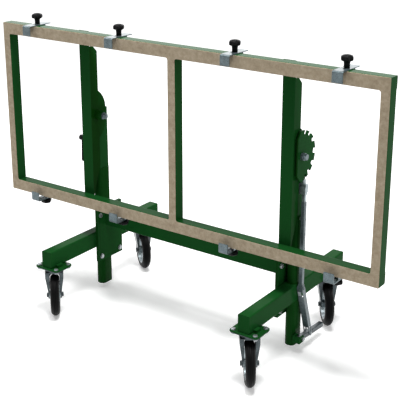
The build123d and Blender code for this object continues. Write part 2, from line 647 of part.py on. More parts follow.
corners = {
    "front_right": (UNIT_X, CASTER_FRONT), "front_left": (-UNIT_X, CASTER_FRONT),
    "rear_left": (-UNIT_X, CASTER_REAR), "rear_right": (UNIT_X, CASTER_REAR)}
spots = [Pos(cx, cy, 0) for cx, cy in corners.values()]
pieces["caster_mount_plates"] = group(spot * mount_plate for spot in spots)
pieces["caster_top_plates"] = group(spot * top_plate for spot in spots)
mount_bolts = [spot * mount_bolt(hx, hy) for spot in spots for hx, hy in mount_spots]
pieces["base_bolts"] = group(mount_bolts + flange_bolts)

# Swivel fork: pressed crown and drawn-in legs, lower race, kingpin and axle; the wheel trails along -X
fork_in = FORK_LOW / 2 - FORK_T
axle_x = -TRAIL
shoulder_z = crown_z1 - FORK_SHOULDER
eye_top = WHEEL_R + FORK_EYE_R
eye_foot = WHEEL_R - FORK_EYE_R


def fork_side():
    half = CROWN_L / 2
    eye_a = (axle_x + FORK_EYE_R, WHEEL_R)
    eye_b = (axle_x - FORK_EYE_R, WHEEL_R)
    back = Polyline(eye_b, (-half, shoulder_z), (-half, crown_z1), (half, crown_z1), (half, shoulder_z), eye_a)
    face = make_face([back, ThreePointArc(eye_a, (axle_x, eye_foot), eye_b)])
    plane = Plane(origin=(0, -FORK_OUT, 0), x_dir=(1, 0, 0), z_dir=(0, -1, 0))
    return extrude(plane * face, amount=2 * FORK_OUT, dir=(0, 1, 0))


def fork_band(way, points):
    return plate_x(-WHEEL_R, 2 * WHEEL_R, [(way * y, z) for y, z in points])


def fork_leg(way):
    side = fork_side()
    outer = [(FORK_OUT / 2, crown_z1), (FORK_OUT / 2, shoulder_z), (FORK_LOW / 2, eye_top),
             (FORK_LOW / 2, eye_foot - CUT_OVER)]
    inner = [(y - FORK_T, z) for y, z in reversed(outer)]
    flange_y = TYRE_W / 2 + FORK_FLANGE_GAP
    flange = fork_band(way, outer[:3] + [(flange_y, eye_top), (flange_y, crown_z1)])
    skin = side - (Pos(FORK_T, 0, 0) * side & Pos(-FORK_T, 0, 0) * side)
    return (fork_band(way, outer + inner) & side) + (flange & skin)


fork = Pos(0, 0, crown_z0) * extrude(Rectangle(CROWN_L, FORK_OUT), amount=CROWN_T)
fork = fork + fork_leg(-1) + fork_leg(1)
fork = fork + bar_z(0, 0, crown_z1, crown_z1 + RACE_H, RACE_D)
fork = fork + bar_z(0, 0, crown_z1, mount_z - KINGPIN_SUNK, KINGPIN_D)
fork = fork + Pos(axle_x, 0, WHEEL_R) * Rot(90, 0, 0) * Cylinder(AXLE_D / 2, FORK_LOW)
for side in (-1, 1):
    axle_head = Rot(-90 * side, 0, 0) * hexagon(AXLE_AF, AXLE_HEAD_L)
    fork = fork + Pos(axle_x, side * FORK_LOW / 2, WHEEL_R) * axle_head

# Wheel: a turned rim with hub, and a rounded solid tyre that grips it
rim_r = WHEEL_R - TYRE_H
rim_half = RIM_W / 2
tyre_half = TYRE_W / 2
hub_half = fork_in - HUB_SIDE_GAP
bore_r = AXLE_D / 2 + RUN_FIT
dish_r = (HUB_R + rim_r - RIM_LIP) / 2


def rim_side(way):
    web = RIM_WEB / 2
    return [(rim_r, way * rim_half), (rim_r - RIM_LIP, way * rim_half), (rim_r - RIM_LIP - RIM_DISH, way * web),
            (dish_r, way * (web + RIM_DISH)), (HUB_R, way * (web + RIM_DISH)),
            (HUB_R, way * hub_half), (bore_r, way * hub_half)]


rim_profile = make_face(Polyline(*rim_side(1), *reversed(rim_side(-1)), close=True))
edge_r = WHEEL_R - TYRE_SHOULDER
tyre_profile = make_face([
    Polyline((edge_r, -tyre_half), (rim_r + TYRE_BEAD, -tyre_half), (rim_r, -rim_half), (rim_r, rim_half),
             (rim_r + TYRE_BEAD, tyre_half), (edge_r, tyre_half)),
    ThreePointArc((edge_r, tyre_half), (WHEEL_R, 0), (edge_r, -tyre_half))])


def turned(profile):
    return Pos(axle_x, 0, WHEEL_R) * Rot(90, 0, 0) * revolve(Plane.XZ * profile, axis=Axis.Z)


rim = turned(rim_profile)
tyre = turned(tyre_profile)
for corner, spot in zip(corners, spots):
    place = spot * Rot(0, 0, HEADINGS[corner])
    pieces["fork_" + corner] = place * fork
    pieces["rim_" + corner] = place * rim
    pieces["tyre_" + corner] = place * tyre

# Bent clamp strip with its slot, its hook hanging from Z = 0
leg_back = FELT_FRONT - LEG_OPEN
leg_front = leg_back - STRIP_T
slot_w = STUD_D + 2 * SLOT_CLEAR
slot_mid = STUD_Y - CLAMP_TRAVEL / 2
strip = plate_x(-STRIP_W / 2, STRIP_W, [
    (STRIP_BACK, 0), (leg_front, 0), (leg_front, -LEG_LEN), (leg_back, -LEG_LEN),
    (leg_back, -STRIP_T), (STRIP_BACK, -STRIP_T)])
outer_bend = strip.edges().filter_by(Axis.X).sort_by_distance(Vector(0, leg_front, 0))[0]
strip = fillet(outer_bend, STRIP_BEND_R + STRIP_T)
inner_bend = strip.edges().filter_by(Axis.X).sort_by_distance(Vector(0, leg_back, -STRIP_T))[0]
strip = fillet(inner_bend, STRIP_BEND_R)
slot_face = SlotCenterToCenter(CLAMP_TRAVEL, slot_w, rotation=90)
strip = strip - Pos(0, slot_mid, -STRIP_T - CUT_OVER) * extrude(slot_face, amount=STRIP_T + 2 * CUT_OVER)

# Star knob, standing on Z = 0
star = Circle(KNOB_R - LOBE_R)
for lobe in range(KNOB_LOBES):
    star = star + Rot(0, 0, 360.0 / KNOB_LOBES * lobe) * Pos(KNOB_R - LOBE_R, 0) * Circle(LOBE_R)
head = extrude(star, amount=KNOB_H - KNOB_CROWN_H)
head = fillet(head.edges().group_by(Axis.Z)[-1], KNOB_EDGE_R)
crown = Cone(KNOB_R - LOBE_R, KNOB_CROWN_R, KNOB_CROWN_H, align=(Align.CENTER, Align.CENTER, Align.MIN))
head = head + Pos(0, 0, KNOB_H - KNOB_CROWN_H) * crown


def star_knob(hub_l):
    body = Pos(0, 0, hub_l) * head + bar_z(0, 0, 0, hub_l + CUT_OVER, KNOB_HUB_D)
    return body - bar_z(0, 0, -CUT_OVER, hub_l + KNOB_BORE, STUD_D + 2 * RUN_FIT)


knob = star_knob(KNOB_HUB_L)

# Clamps along both edges; the lower ones hang from their studs
top_strip_z = table_top + REST_GAP + STRIP_T
low_strip_z = table_bottom - LOW_STRIP_DROP - STRIP_T
low_strip = mirror(strip, about=Plane.XY)
low_knob = Rot(180, 0, 0) * star_knob(LOW_HUB_L)
studs = []
for number, cx in enumerate(CLAMP_X, start=1):
    pieces["clamp_top_%d" % number] = Pos(cx, 0, top_strip_z) * strip
    pieces["knob_top_%d" % number] = Pos(cx, STUD_Y, top_strip_z + REST_GAP) * knob
    studs.append(bar_z(cx, STUD_Y, table_top, top_strip_z + KNOB_HUB_L, STUD_D))
    pieces["clamp_low_%d" % number] = Pos(cx, 0, low_strip_z) * low_strip
    pieces["knob_low_%d" % number] = Pos(cx, STUD_Y, low_strip_z - REST_GAP) * low_knob
    studs.append(bar_z(cx, STUD_Y, low_strip_z - LOW_HUB_L, table_bottom, STUD_D))
pieces["clamp_studs"] = group(studs)

# Origin at the bottom centre of the whole object
boxes = [piece.bounding_box() for piece in pieces.values()]
shift_y = -(min(b.min.Y for b in boxes) + max(b.max.Y for b in boxes)) / 2
print("shift_y", round(shift_y, 4))
for name, piece in pieces.items():
    export_step(Pos(0, shift_y, 0) * piece, "parts/%s.step" % name)
print("pieces", len(pieces))
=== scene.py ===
import bpy
import bmesh
import json
import math
from mathutils import Matrix, Vector, noise as mnoise


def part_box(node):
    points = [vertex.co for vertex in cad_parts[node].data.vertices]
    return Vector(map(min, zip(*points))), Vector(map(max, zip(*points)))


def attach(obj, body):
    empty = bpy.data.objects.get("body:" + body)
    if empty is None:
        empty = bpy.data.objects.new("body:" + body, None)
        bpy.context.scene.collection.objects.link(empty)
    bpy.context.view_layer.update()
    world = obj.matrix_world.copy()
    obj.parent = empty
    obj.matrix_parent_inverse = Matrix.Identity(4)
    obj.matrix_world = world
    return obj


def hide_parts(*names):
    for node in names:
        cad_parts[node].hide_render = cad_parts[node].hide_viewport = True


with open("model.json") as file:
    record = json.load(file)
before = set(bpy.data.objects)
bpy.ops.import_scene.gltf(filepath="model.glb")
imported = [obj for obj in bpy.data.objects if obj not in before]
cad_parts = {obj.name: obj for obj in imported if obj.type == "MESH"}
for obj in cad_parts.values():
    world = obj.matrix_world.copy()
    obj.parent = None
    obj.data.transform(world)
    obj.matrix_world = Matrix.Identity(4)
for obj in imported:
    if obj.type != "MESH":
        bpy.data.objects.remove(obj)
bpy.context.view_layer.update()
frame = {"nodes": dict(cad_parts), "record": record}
RECORD = frame["record"]
JOINTS = {joint["name"]: joint for joint in RECORD["behaviour"]["joints"]}
CORNERS = ("front_right", "front_left", "rear_left", "rear_right")
CLAMPS_PER_RAIL = 4
TURN = 2 * math.pi
SAME_POINT = 1e-6
UP = Vector((0, 0, 1))

# Camera at the photograph's viewing angle, in metres from the middle of the felt's top front edge
VIEW_FROM = (2.4108, -3.1683, 0.7991)
VIEW_YAW = 0.6193
VIEW_PITCH = 0.3054
LENS_PIXELS = 963.8
IMAGE_PIXELS = 400
CENTRE_ROW = 150
SENSOR_MM = 36.0
CLIP_END = 100.0

# Colours, linear
WHITE = (1.0, 1.0, 1.0, 1.0)
GREEN = (0.0036, 0.0370, 0.0026)
GREEN_DEEP = (0.0027, 0.0290, 0.0020)
# Lighter green of the sharp edges: partly edge wear, partly a painted highlight
GREEN_WEAR_AND_HIGHLIGHT = (0.007, 0.060, 0.012)
ZINC = (0.40, 0.43, 0.44)
ZINC_DULL = (0.23, 0.255, 0.265)
# Caster zinc darkened as painted shade
CASTER = (0.082, 0.100, 0.107)
CASTER_DULL = (0.033, 0.043, 0.047)
RIM = (0.43, 0.49, 0.51)
RIM_DULL = (0.16, 0.19, 0.205)
STRIP = (0.135, 0.175, 0.190)
STRIP_DULL = (0.075, 0.100, 0.108)
ROD = (0.118, 0.155, 0.165)
ROD_DULL = (0.078, 0.103, 0.112)
FELT_MID = (0.372, 0.305, 0.214)
FELT_DARK = (0.285, 0.226, 0.155)
FELT_LIGHT = (0.462, 0.388, 0.287)
FELT_SPECK = (0.30, 0.17, 0.085)
PLASTIC = (0.0022, 0.0023, 0.0026)
PLASTIC_LIGHT = (0.0050, 0.0052, 0.0058)
RUBBER = (0.0020, 0.0021, 0.0023)
RUBBER_DUSTY = (0.0045, 0.0046, 0.0049)
FLOOR = 0.94
FLOOR_DULL = 0.93

# Floor glow, by distance from the middle, and the light of the surroundings
FLOOR_HALF = 40.0
FLOOR_GLOW_NEAR = 0.25
FLOOR_GLOW_FAR = 0.80
GLOW_FROM = 1.2
GLOW_TO = 5.0
AMBIENT = 0.29

# Area lamps: place, width, height, watts
LAMP_TARGET = Vector((0.0, 0.0, 0.7))
LAMPS = {
    "key": ((1.0, -0.6, 5.4), 1.5, 1.5, 235.0),
    "strip": ((-2.3, -0.8, 4.6), 0.9, 3.2, 95.0),
    "side": ((4.2, 0.6, 2.4), 2.4, 2.4, 40.0),
    "back": ((-2.5, 3.1, 2.2), 4.8, 2.0, 46.0),
}


class Surface:
    """A new material, with helpers that build its nodes in the object's own coordinates.

    Noise scales are per metre. The stops of a ramp pair a value with the colour or level there.
    """

    def __init__(self, name):
        self.material = bpy.data.materials.new(name)
        self.material.use_nodes = True
        self.tree = self.material.node_tree
        self.sockets = self.tree.nodes["Principled BSDF"].inputs
        self.coords = self.tree.nodes.new("ShaderNodeTexCoord").outputs["Object"]

    def set(self, socket, value):
        self.sockets[socket].default_value = value

    def feed(self, socket, value):
        self.tree.links.new(value, self.sockets[socket])

    def noise(self, scale, detail=4.0, rough=0.55):
        node = self.tree.nodes.new("ShaderNodeTexNoise")
        node.inputs["Scale"].default_value = scale
        node.inputs["Detail"].default_value = detail
        node.inputs["Roughness"].default_value = rough
        self.tree.links.new(self.coords, node.inputs["Vector"])
        return node.outputs["Fac"]

    def ramp(self, value, *stops):
        node = self.tree.nodes.new("ShaderNodeValToRGB")
        elements = node.color_ramp.elements
        # A stop is added in the middle and then moved to its place
        while len(elements) < len(stops):
            elements.new(0.5)
        for element, (place, colour) in zip(elements, stops):
            element.position = place
            element.color = (*colour, 1.0)
        self.tree.links.new(value, node.inputs["Fac"])
        return node.outputs["Color"]

    def levels(self, value, *stops):
        return self.ramp(value, *[(place, (level, level, level)) for place, level in stops])

    def blend(self, factor, first, second):
        node = self.tree.nodes.new("ShaderNodeMix")
        node.data_type = "RGBA"
        self.tree.links.new(factor, node.inputs["Factor"])
        self.tree.links.new(first, node.inputs["A"])
        node.inputs["B"].default_value = (*second, 1.0)
        return node.outputs["Result"]

    def bump(self, height, strength, distance):
        node = self.tree.nodes.new("ShaderNodeBump")
        node.inputs["Strength"].default_value = strength
        node.inputs["Distance"].default_value = distance
        self.tree.links.new(height, node.inputs["Height"])
        self.feed("Normal", node.outputs["Normal"])


def paint_material():
    paint = Surface("green_paint")
    colour = paint.ramp(paint.noise(scale=7.0), (0.3, GREEN_DEEP), (0.7, GREEN))
    # Sharp edges turn a lighter green: partly edge wear, partly a painted highlight along the edges
    edges = paint.tree.nodes.new("ShaderNodeNewGeometry").outputs["Pointiness"]
    wear_and_highlight = paint.levels(edges, (0.53, 0.0), (0.62, 1.0))
    paint.feed("Base Color", paint.blend(wear_and_highlight, colour, GREEN_WEAR_AND_HIGHLIGHT))
    film = paint.noise(scale=34.0, detail=3.0)
    paint.feed("Roughness", paint.levels(film, (0.3, 0.12), (0.75, 0.20)))
    paint.bump(paint.noise(scale=190.0, detail=2.0), strength=0.05, distance=0.002)
    paint.set("Specular IOR Level", 0.010)
    return paint.material


def zinc_material(name, dull, bright, metallic):
    zinc = Surface(name)
    # Mottled between the dull and the bright colour: partly the plating's spangle, partly painted
    # reflections of varied surroundings
    spangle_and_reflection = zinc.noise(scale=45.0, detail=5.0)
    zinc.feed("Base Color", zinc.ramp(spangle_and_reflection, (0.3, dull), (0.7, bright)))
    grain = zinc.noise(scale=240.0, detail=3.0)
    zinc.feed("Roughness", zinc.levels(grain, (0.25, 0.24), (0.8, 0.36)))
    zinc.bump(grain, strength=0.05, distance=0.001)
    zinc.set("Metallic", metallic)
    return zinc.material


def felt_material():
    felt = Surface("felt")
    clumps = felt.noise(scale=60.0, detail=7.0, rough=0.68)
    colour = felt.ramp(clumps, (0.30, FELT_DARK), (0.5, FELT_MID), (0.72, FELT_LIGHT))
    specks = felt.levels(felt.noise(scale=150.0, detail=2.0), (0.66, 0.0), (0.80, 0.6))
    felt.feed("Base Color", felt.blend(specks, colour, FELT_SPECK))
    fibres = felt.noise(scale=800.0, detail=3.0, rough=0.7)
    felt.bump(fibres, strength=0.5, distance=0.0012)
    felt.set("Roughness", 0.95)
    felt.set("Specular IOR Level", 0.1)
    felt.set("Sheen Weight", 0.12)
    felt.set("Sheen Roughness", 0.5)
    return felt.material


def plastic_material():
    plastic = Surface("black_plastic")
    mould = plastic.noise(scale=120.0)
    plastic.feed("Base Color", plastic.ramp(mould, (0.3, PLASTIC), (0.8, PLASTIC_LIGHT)))
    plastic.feed("Roughness", plastic.levels(mould, (0.3, 0.34), (0.8, 0.50)))
    plastic.bump(plastic.noise(scale=700.0, detail=2.0), strength=0.12, distance=0.0006)
    plastic.set("Specular IOR Level", 0.08)
    return plastic.material


def rubber_material():
    rubber = Surface("rubber")
    dust = rubber.noise(scale=70.0)
    rubber.feed("Base Color", rubber.ramp(dust, (0.4, RUBBER), (0.85, RUBBER_DUSTY)))
    rubber.feed("Roughness", rubber.levels(dust, (0.3, 0.36), (0.8, 0.55)))
    rubber.bump(rubber.noise(scale=420.0, detail=2.0), strength=0.12, distance=0.0008)
    rubber.set("Specular IOR Level", 0.07)
    return rubber.material


MATERIALS = {
    "green_paint": paint_material(),
    "zinc": zinc_material("zinc_plate", ZINC_DULL, ZINC, metallic=0.85),
    "zinc_strip": zinc_material("zinc_strip", STRIP_DULL, STRIP, metallic=0.60),
    "zinc_rod": zinc_material("zinc_rod", ROD_DULL, ROD, metallic=0.25),
    "zinc_shaded_caster": zinc_material("zinc_shaded_caster", CASTER_DULL, CASTER, metallic=0.75),
    "zinc_rim": zinc_material("zinc_rim", RIM_DULL, RIM, metallic=0.80),
    "felt": felt_material(),
    "black_plastic": plastic_material(),
    "tyre": rubber_material(),
}
# Nodes, by the start of their names, that take another copy of the zinc than the plain one of studs
# and pins: the strip and rod copies are darker, the rim copy is brighter with a wider mottle, and the
# caster copy is darkened as painted shade
FINISHES = {
    "zinc_strip": ("clamp_top", "clamp_low", "left_pivot_bolt", "right_pivot_bolt"),
    "zinc_rod": ("perforated_rod", "foot_link"),
    "zinc_shaded_caster": ("fork", "caster_top_plates", "pedal_lever"),
    "zinc_rim": ("rim", "latch_tongue", "latch_guide"),
}


def finish_of(part):
    for finish, starts in FINISHES.items():
        if part["node"].startswith(starts):
            return finish
    return part["material_slot"]


def paint_nodes():
    for part in RECORD["subparts"]:
        materials = frame["nodes"][part["node"]].data.materials
        materials.clear()
        materials.append(MATERIALS[finish_of(part)])


def show(name, data):
    item = bpy.data.objects.new(name, data)
    bpy.context.collection.objects.link(item)
    return item


class Build:
    """Collects the vertices and faces of one piece."""

    def __init__(self):
        self.verts = []
        self.faces = []

    def add(self, rings, closed=False, cap=False):
        start = len(self.verts)
        count = len(rings[0])
        for ring in rings:
            self.verts.extend(ring)
        pairs = list(zip(range(len(rings)), range(1, len(rings))))
        if closed:
            pairs.append((len(rings) - 1, 0))
        for low, high in pairs:
            for k in range(count):
                n = (k + 1) % count
                self.faces.append((start + low * count + k, start + low * count + n,
                                   start + high * count + n, start + high * count + k))
        if cap:
            last = start + (len(rings) - 1) * count
            self.faces.append(tuple(range(start + count - 1, start - 1, -1)))
            self.faces.append(tuple(range(last, last + count)))


def add_piece(name, build, body, slot, finish=None, smooth=True):
    mesh = bpy.data.meshes.new(name)
    mesh.from_pydata(build.verts, [], build.faces)
    mesh.update()
    for polygon in mesh.polygons:
        polygon.use_smooth = smooth
    mesh.materials.append(MATERIALS[finish or slot])
    piece = show(name, mesh)
    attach(piece, body)
    return piece


def axis_matrix(origin, axis):
    turn = Vector(axis).to_track_quat("Z", "Y").to_matrix().to_4x4()
    return Matrix.Translation(Vector(origin)) @ turn


def angles(count):
    return [TURN * k / count for k in range(count)]


def turned_rings(profile, place, segments):
    rings = []
    for height, radius in profile:
        rings.append([place @ Vector((radius * math.cos(angle), radius * math.sin(angle), height))
                      for angle in angles(segments)])
    return rings


# Felt facing, a cut pad with soft rolled edges and a slightly uneven face
FELT_ROLL = 0.0014
FELT_ROLL_STEPS = 3
FELT_ROLL_FULLNESS = 0.6
FELT_CELL = 0.012
FELT_WAVE = 0.00035
FELT_WAVES_PER_M = 22.0
FLAT_ANGLE = 0.02
SHARP_ANGLE = 0.9


def is_sharp(edge):
    return len(edge.link_faces) == 2 and edge.calc_face_angle() > SHARP_ANGLE


def add_felt():
    source = frame["nodes"]["felt_facing"]
    mesh = source.data.copy()
    mesh.name = "felt_pad"
    work = bmesh.new()
    work.from_mesh(mesh)
    bmesh.ops.remove_doubles(work, verts=work.verts[:], dist=SAME_POINT)
    bmesh.ops.dissolve_limit(work, angle_limit=FLAT_ANGLE, verts=work.verts[:], edges=work.edges[:])
    sharp = [edge for edge in work.edges if is_sharp(edge)]
    bmesh.ops.bevel(work, geom=sharp, offset=FELT_ROLL, segments=FELT_ROLL_STEPS,
                    profile=FELT_ROLL_FULLNESS, affect="EDGES")
    low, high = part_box("felt_facing")
    for axis in (0, 2):
        steps = int((high[axis] - low[axis]) / FELT_CELL)
        normal = [0.0, 0.0, 0.0]
        normal[axis] = 1.0
        for step in range(1, steps):
            point = [0.0, 0.0, 0.0]
            point[axis] = low[axis] + (high[axis] - low[axis]) * step / steps
            geom = work.verts[:] + work.edges[:] + work.faces[:]
            bmesh.ops.bisect_plane(work, geom=geom, plane_co=point, plane_no=normal)
    for vert in work.verts:
        if vert.co.y < low[1] + FELT_ROLL:
            vert.co.y += FELT_WAVE * (1.0 + mnoise.noise(vert.co * FELT_WAVES_PER_M))
    work.to_mesh(mesh)
    work.free()
    mesh.materials.clear()
    mesh.materials.append(MATERIALS["felt"])
    felt = show("felt_pad", mesh)
    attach(felt, "table")
    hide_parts("felt_facing")


# Ribbed solid tyres, with a pointed crown and a groove around each wall
WHEEL_R = 0.09998
RIM_R = 0.070
TYRE_HALF = 0.021
RIM_HALF = 0.019
TYRE_SHOULDER = 0.0195
CROWN_POWER = 1.65
TREAD_GROOVES = (-0.0108, -0.0038, 0.0038, 0.0108)
GROOVE_HALF = 0.0011
GROOVE_DEPTH = 0.0024
WALL_GROOVE_OUT = 0.0795
WALL_GROOVE_IN = 0.0757
WALL_GROOVE_DEPTH = 0.0008
BEAD_RISE = 0.004
TREAD_STEPS = 72
TYRE_SEGMENTS = 144


def tyre_profile():
    tread = []
    for k in range(TREAD_STEPS + 1):
        across = TYRE_HALF * math.sin(math.pi * (k / TREAD_STEPS - 0.5))
        fall = 1.0 - abs(across / TYRE_HALF) ** CROWN_POWER
        radius = WHEEL_R - TYRE_SHOULDER * (1.0 - fall ** (1.0 / CROWN_POWER))
        if any(abs(across - groove) < GROOVE_HALF for groove in TREAD_GROOVES):
            radius -= GROOVE_DEPTH
        tread.append((across, radius))
    wall = [(TYRE_HALF, WALL_GROOVE_OUT),
            (TYRE_HALF - WALL_GROOVE_DEPTH, WALL_GROOVE_OUT - WALL_GROOVE_DEPTH),
            (TYRE_HALF - WALL_GROOVE_DEPTH, WALL_GROOVE_IN + WALL_GROOVE_DEPTH),
            (TYRE_HALF, WALL_GROOVE_IN),
            (TYRE_HALF, RIM_R + BEAD_RISE),
            (RIM_HALF, RIM_R)]
    left = [(-across, radius) for across, radius in reversed(wall)]
    return left + tread + wall


def add_tyres():
    profile = tyre_profile()
    for corner in CORNERS:
        joint = JOINTS["wheel_%s_roll" % corner]
        place = axis_matrix(joint["pos_m"], joint["axis"])
        build = Build()
        build.add(turned_rings(profile, place, TYRE_SEGMENTS), closed=True)
        tyre = add_piece("ribbed_tyre_" + corner, build, "wheel_" + corner, "tyre")
        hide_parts("tyre_" + corner)


# Aprons that close the crowns of the swivel forks ahead of the tyres. Below the shoulder they
# lean back with the edges of the fork, and their lower lip is arched over the tyre.
APRON_REACH = 0.0377
APRON_TOP = 0.2116
APRON_SHOULDER = 0.1896
APRON_LEAN = 0.491
APRON_LIP = 0.1885
APRON_DROP = 0.020
APRON_HALF = 0.0245
APRON_T = 0.003
APRON_STEPS = 12


def apron_section(lip):
    low = APRON_REACH - APRON_LEAN * (APRON_SHOULDER - lip)
    return ((APRON_REACH - APRON_T, APRON_TOP), (APRON_REACH, APRON_TOP),
            (APRON_REACH, APRON_SHOULDER), (low, lip),
            (low - APRON_T, lip), (APRON_REACH - APRON_T, APRON_SHOULDER))


def add_aprons():
    for corner in CORNERS:
        swivel = Vector(JOINTS["swivel_" + corner]["pos_m"])
        axle = Vector(JOINTS["wheel_%s_roll" % corner]["pos_m"])
        ahead = Vector((swivel.x - axle.x, swivel.y - axle.y, 0.0)).normalized()
        across = Vector((-ahead.y, ahead.x, 0.0))
        rings = []
        for k in range(APRON_STEPS + 1):
            share = 2.0 * k / APRON_STEPS - 1.0
            ring = []
            for reach, height in apron_section(APRON_LIP - APRON_DROP * share ** 2):
                spot = swivel + reach * ahead + share * APRON_HALF * across
                ring.append(Vector((spot.x, spot.y, height)))
            rings.append(ring)
        build = Build()
        build.add(rings, cap=True)
        add_piece("fork_apron_" + corner, build, "fork_" + corner, "zinc",
                  finish="zinc_shaded_caster", smooth=False)


# Star knobs with softly moulded lobes, a domed crown and a flared hub
KNOB_MEAN = 0.0240
KNOB_LOBE = 0.0020
KNOB_LOBES = 6
KNOB_HEAD = 0.024
KNOB_HUB_R = 0.012
KNOB_HUB_EDGE = 0.0006
KNOB_BORE_R = 0.0051
KNOB_POINTS = 96
# Share of the hub's height, share of its radius
KNOB_HUB_STEPS = ((0.55, 1.0), (0.80, 1.06), (0.94, 1.22))
# Share of the head's height, share of its radius, share of the lobes that still shows
KNOB_HEAD_STEPS = (
    (0.00, 0.80, 0.9), (0.05, 0.91, 1.0), (0.14, 0.98, 1.0), (0.32, 1.00, 1.0),
    (0.52, 1.00, 1.0), (0.66, 0.97, 1.0), (0.76, 0.90, 0.9), (0.84, 0.78, 0.7),
    (0.91, 0.60, 0.4), (0.96, 0.40, 0.2), (0.99, 0.20, 0.0), (1.00, 0.02, 0.0),
)


def knob_ring(centre, radius, lobes, height):
    ring = []
    for angle in angles(KNOB_POINTS):
        reach = radius * (1.0 + lobes * KNOB_LOBE / KNOB_MEAN * math.cos(KNOB_LOBES * angle))
        ring.append(Vector((centre[0] + reach * math.cos(angle),
                            centre[1] + reach * math.sin(angle), height)))
    return ring


def knob_steps(foot, tip, way):
    """Radius, share of the lobes and height of each ring, from the bore to the crown."""
    neck = tip - way * KNOB_HEAD
    steps = [(KNOB_BORE_R, 0.0, neck), (KNOB_BORE_R, 0.0, foot),
             (KNOB_HUB_R - KNOB_HUB_EDGE, 0.0, foot),
             (KNOB_HUB_R, 0.0, foot + way * KNOB_HUB_EDGE)]
    for rise, share in KNOB_HUB_STEPS:
        steps.append((KNOB_HUB_R * share, 0.0, foot + (neck - foot) * rise))
    for rise, share, lobes in KNOB_HEAD_STEPS:
        steps.append((KNOB_MEAN * share, lobes, neck + way * KNOB_HEAD * rise))
    return steps


def add_knobs():
    for level, way in (("top", 1.0), ("low", -1.0)):
        for number in range(1, CLAMPS_PER_RAIL + 1):
            node = "knob_%s_%d" % (level, number)
            low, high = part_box(node)
            centre = ((low[0] + high[0]) / 2, (low[1] + high[1]) / 2)
            foot, tip = (low[2], high[2]) if way > 0 else (high[2], low[2])
            build = Build()
            build.add([knob_ring(centre, *step) for step in knob_steps(foot, tip, way)], cap=True)
            knob = add_piece("star_" + node, build, node, "black_plastic")
            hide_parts(node)


# Post sleeves drawn as flat-sided oval tube
SLEEVE_CORNER = 0.0225
SLEEVE_WALL = 0.0046
SLEEVE_EDGE = 0.0008
CORNER_STEPS = 12


def oval(low, high, inset):
    x0, x1 = low[0] + inset, high[0] - inset
    y0, y1 = low[1] + inset, high[1] - inset
    r = SLEEVE_CORNER - inset
    centres = ((x1 - r, y1 - r), (x0 + r, y1 - r), (x0 + r, y0 + r), (x1 - r, y0 + r))
    points = []
    for quarter, (cx, cy) in enumerate(centres):
        for k in range(CORNER_STEPS + 1):
            angle = math.pi / 2 * (quarter + k / CORNER_STEPS)
            points.append((cx + r * math.cos(angle), cy + r * math.sin(angle)))
    return points


def add_sleeves():
    for side in ("left", "right"):
        node = side + "_post_sleeve"
        low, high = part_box(node)
        levels = ((SLEEVE_WALL, low[2]), (SLEEVE_EDGE, low[2]), (0.0, low[2] + SLEEVE_EDGE),
                  (0.0, high[2] - SLEEVE_EDGE), (SLEEVE_EDGE, high[2]), (SLEEVE_WALL, high[2]))
        rings = []
        for inset, z in levels:
            rings.append([Vector((x, y, z)) for x, y in oval(low, high, inset)])
        build = Build()
        build.add(rings, closed=True)
        sleeve = add_piece("oval_" + node, build, "base", "green_paint")
        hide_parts(node)


# Chamfered hexagon fasteners in place of the plain base bolts
HEX_POINTS = 36
HEX_CROWN = 0.95
CHAMFER_SLOPE = math.tan(math.radians(30))
# Height of the head, height of the nut, size across the flats
CASTER_BOLT = (0.0064, 0.008, 0.017)
FLANGE_BOLT = (0.008, 0.008, 0.019)
# Shares of the size across the flats
WASHER_R = 0.62
WASHER_BORE_R = 0.2
STEM_R = 0.28
WASHER_T = 0.0016
WASHER_EDGE_IN = 0.0004
WASHER_EDGE_UP = 0.0005
WASHER_SEGMENTS = 28
NUT_SHORT = 0.0014
STEM_SHOWN = 0.003
THREAD_PITCH = 0.0015
THREAD_SEGMENTS = 24
THREAD_LEAST_TURNS = 2
THREAD_CENTRE_R = 0.0005
# Shares of the thread's radius
THREAD_ROOT = 0.90
THREAD_END = 0.80


def islands(node):
    """The box of each separate solid in a node, as a low and a high value for each axis."""
    work = bmesh.new()
    work.from_mesh(frame["nodes"][node].data)
    bmesh.ops.remove_doubles(work, verts=work.verts[:], dist=SAME_POINT)
    seen = set()
    boxes = []
    for vert in work.verts:
        if vert.index in seen:
            continue
        stack = [vert]
        seen.add(vert.index)
        group = []
        while stack:
            here = stack.pop()
            group.append(here.co.copy())
            for edge in here.link_edges:
                other = edge.other_vert(here)
                if other.index not in seen:
                    seen.add(other.index)
                    stack.append(other)
        boxes.append([(min(c[k] for c in group), max(c[k] for c in group)) for k in range(3)])
    work.free()
    return boxes


def hex_rings(place, flats, base, top):
    way = 1.0 if top > base else -1.0
    half = flats / 2
    crown = half * HEX_CROWN
    outline = []
    for angle in angles(HEX_POINTS):
        sector = (angle + math.pi / 6) % (math.pi / 3) - math.pi / 6
        outline.append((angle, half / math.cos(sector)))
    levels = ([(a, r, base) for a, r in outline],
              [(a, r, top - way * ((r - crown) * CHAMFER_SLOPE)) for a, r in outline],
              [(a, crown, top) for a, r in outline])
    rings = []
    for level in levels:
        rings.append([place @ Vector((r * math.cos(a), r * math.sin(a), z)) for a, r, z in level])
    return rings


def thread_profile(start, end, radius):
    turns = max(THREAD_LEAST_TURNS, int(abs(end - start) / THREAD_PITCH))
    profile = [(start, THREAD_CENTRE_R)]
    for k in range(2 * turns + 1):
        height = start + (end - start) * k / (2 * turns)
        profile.append((height, radius if k % 2 == 0 else radius * THREAD_ROOT))
    return profile + [(end, radius * THREAD_END), (end, THREAD_CENTRE_R)]


